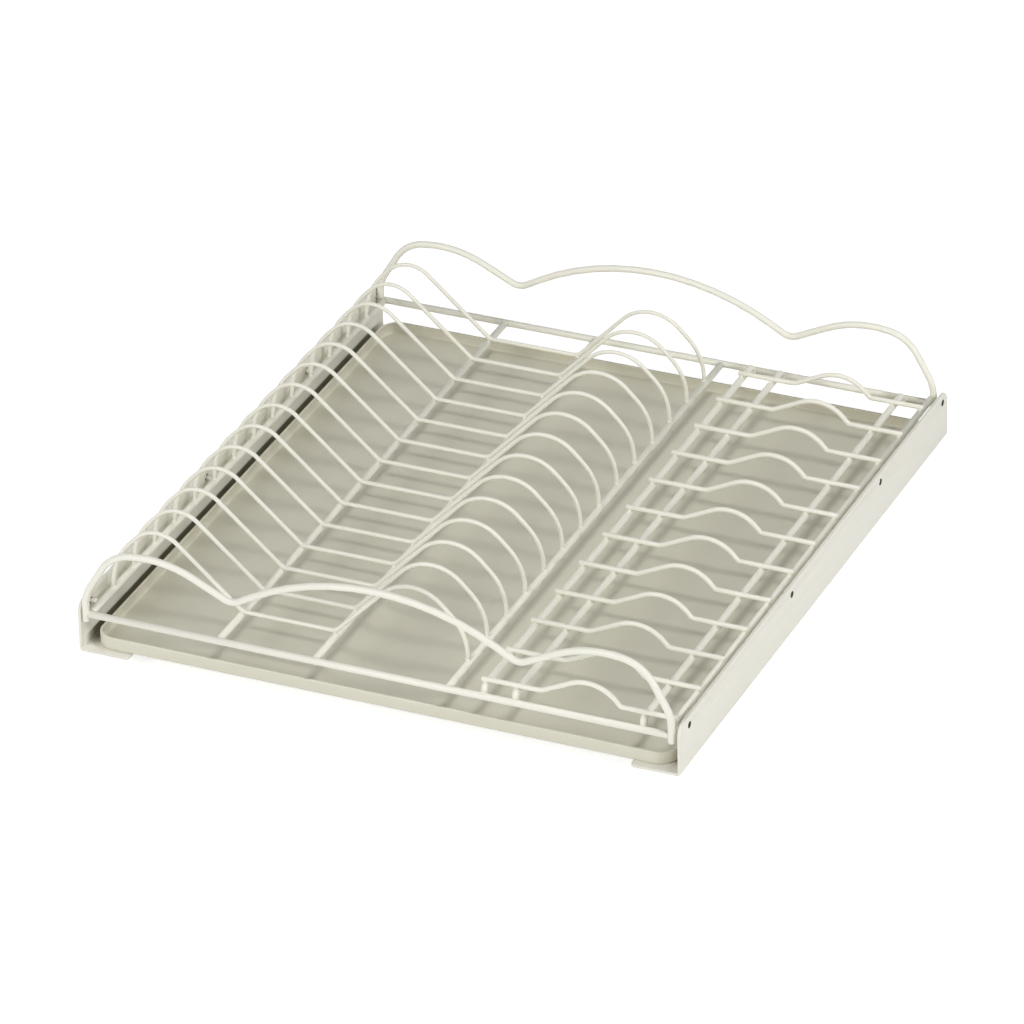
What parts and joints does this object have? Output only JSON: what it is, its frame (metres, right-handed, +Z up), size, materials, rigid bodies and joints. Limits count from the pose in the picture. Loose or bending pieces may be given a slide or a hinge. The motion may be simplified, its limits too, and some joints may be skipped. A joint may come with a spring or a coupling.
{
  "type": "pull-out dish rack",
  "caption": "Pull-out wire dish rack for a base cabinet: plate dividers, bowl wires and wavy end guards on L-shaped side rails, with a drip tray below and ball slides under the rails.",
  "frame": {"origin": "middle of the footprint, on the cabinet floor that the slides are screwed to", "axes": "+X to the right and +Y towards the back of the cabinet, seen from the front; +Z up; the rack pulls out towards -Y"},
  "size_m": [0.44, 0.49, 0.105],
  "materials": {
    "powder_coat": "off-white powder coat, satin, very fine texture",
    "tray_coat": "pale warm grey coat, satin",
    "zinc_steel": "bright zinc plate",
    "cage_steel": "bare pressed strip",
    "ball_steel": "polished bearing steel with a film of grease",
    "rubber": "matt black"
  },
  "bodies": {
    "cabinet_members": {"left_cabinet_member": "zinc_steel", "right_cabinet_member": "zinc_steel", "slide_buffers": "rubber"},
    "rack": {"front_bar": "powder_coat", "rear_bar": "powder_coat", "left_side_bar": "powder_coat", "right_side_bar": "powder_coat", "front_gallery": "powder_coat", "rear_gallery": "powder_coat", "plate_rod_1": "powder_coat", "plate_rod_2": "powder_coat", "plate_rod_3": "powder_coat", "bowl_rod_1": "powder_coat", "bowl_rod_2": "powder_coat", "bowl_rod_3": "powder_coat", "plate_wire_01": "powder_coat", "plate_wire_02": "powder_coat", "plate_wire_03": "powder_coat", "plate_wire_04": "powder_coat", "plate_wire_05": "powder_coat", "plate_wire_06": "powder_coat", "plate_wire_07": "powder_coat", "plate_wire_08": "powder_coat", "plate_wire_09": "powder_coat", "plate_wire_10": "powder_coat", "plate_wire_11": "powder_coat", "plate_wire_12": "powder_coat", "plate_wire_13": "powder_coat", "plate_wire_14": "powder_coat", "bowl_wire_01": "powder_coat", "bowl_wire_02": "powder_coat", "bowl_wire_03": "powder_coat", "bowl_wire_04": "powder_coat", "bowl_wire_05": "powder_coat", "bowl_wire_06": "powder_coat", "bowl_wire_07": "powder_coat", "bowl_wire_08": "powder_coat", "bowl_wire_09": "powder_coat", "bowl_wire_10": "powder_coat", "bowl_wire_11": "powder_coat", "bowl_wire_12": "powder_coat", "rack_pins": "powder_coat", "left_rail": "powder_coat", "right_rail": "powder_coat", "rail_screws": "zinc_steel", "left_drawer_member": "zinc_steel", "right_drawer_member": "zinc_steel"},
    "drip_tray": {"drip_tray": "tray_coat"},
    "left_middle": {"left_middle_member": "zinc_steel"},
    "left_outer_cage": {"left_outer_ball_cage": "cage_steel", "left_outer_balls": "ball_steel"},
    "left_inner_cage": {"left_inner_ball_cage": "cage_steel", "left_inner_balls": "ball_steel"},
    "right_middle": {"right_middle_member": "zinc_steel"},
    "right_outer_cage": {"right_outer_ball_cage": "cage_steel", "right_outer_balls": "ball_steel"},
    "right_inner_cage": {"right_inner_ball_cage": "cage_steel", "right_inner_balls": "ball_steel"}
  },
  "joints": [
    {"name": "rack_slide", "type": "slide", "parent": "cabinet_members", "child": "rack", "axis": [0, -1, 0], "range_m": [0, 0.4]},
    {"name": "left_middle_slide", "type": "slide", "parent": "cabinet_members", "child": "left_middle", "axis": [0, -1, 0], "range_m": [0, 0.2]},
    {"name": "left_outer_cage_slide", "type": "slide", "parent": "cabinet_members", "child": "left_outer_cage", "axis": [0, -1, 0], "range_m": [0, 0.1]},
    {"name": "left_inner_cage_slide", "type": "slide", "parent": "cabinet_members", "child": "left_inner_cage", "axis": [0, -1, 0], "range_m": [0, 0.3]},
    {"name": "right_middle_slide", "type": "slide", "parent": "cabinet_members", "child": "right_middle", "axis": [0, -1, 0], "range_m": [0, 0.2]},
    {"name": "right_outer_cage_slide", "type": "slide", "parent": "cabinet_members", "child": "right_outer_cage", "axis": [0, -1, 0], "range_m": [0, 0.1]},
    {"name": "right_inner_cage_slide", "type": "slide", "parent": "cabinet_members", "child": "right_inner_cage", "axis": [0, -1, 0], "range_m": [0, 0.3]},
    {"name": "tray_slide", "type": "slide", "parent": "rack", "child": "drip_tray", "axis": [0, -1, 0], "range_m": [0, 0.4]}
  ],
  "couplings": [
    {"joint": "left_middle_slide", "follows": "rack_slide", "ratio": 0.5},
    {"joint": "left_outer_cage_slide", "follows": "rack_slide", "ratio": 0.25},
    {"joint": "left_inner_cage_slide", "follows": "rack_slide", "ratio": 0.75},
    {"joint": "right_middle_slide", "follows": "rack_slide", "ratio": 0.5},
    {"joint": "right_outer_cage_slide", "follows": "rack_slide", "ratio": 0.25},
    {"joint": "right_inner_cage_slide", "follows": "rack_slide", "ratio": 0.75}
  ]
}
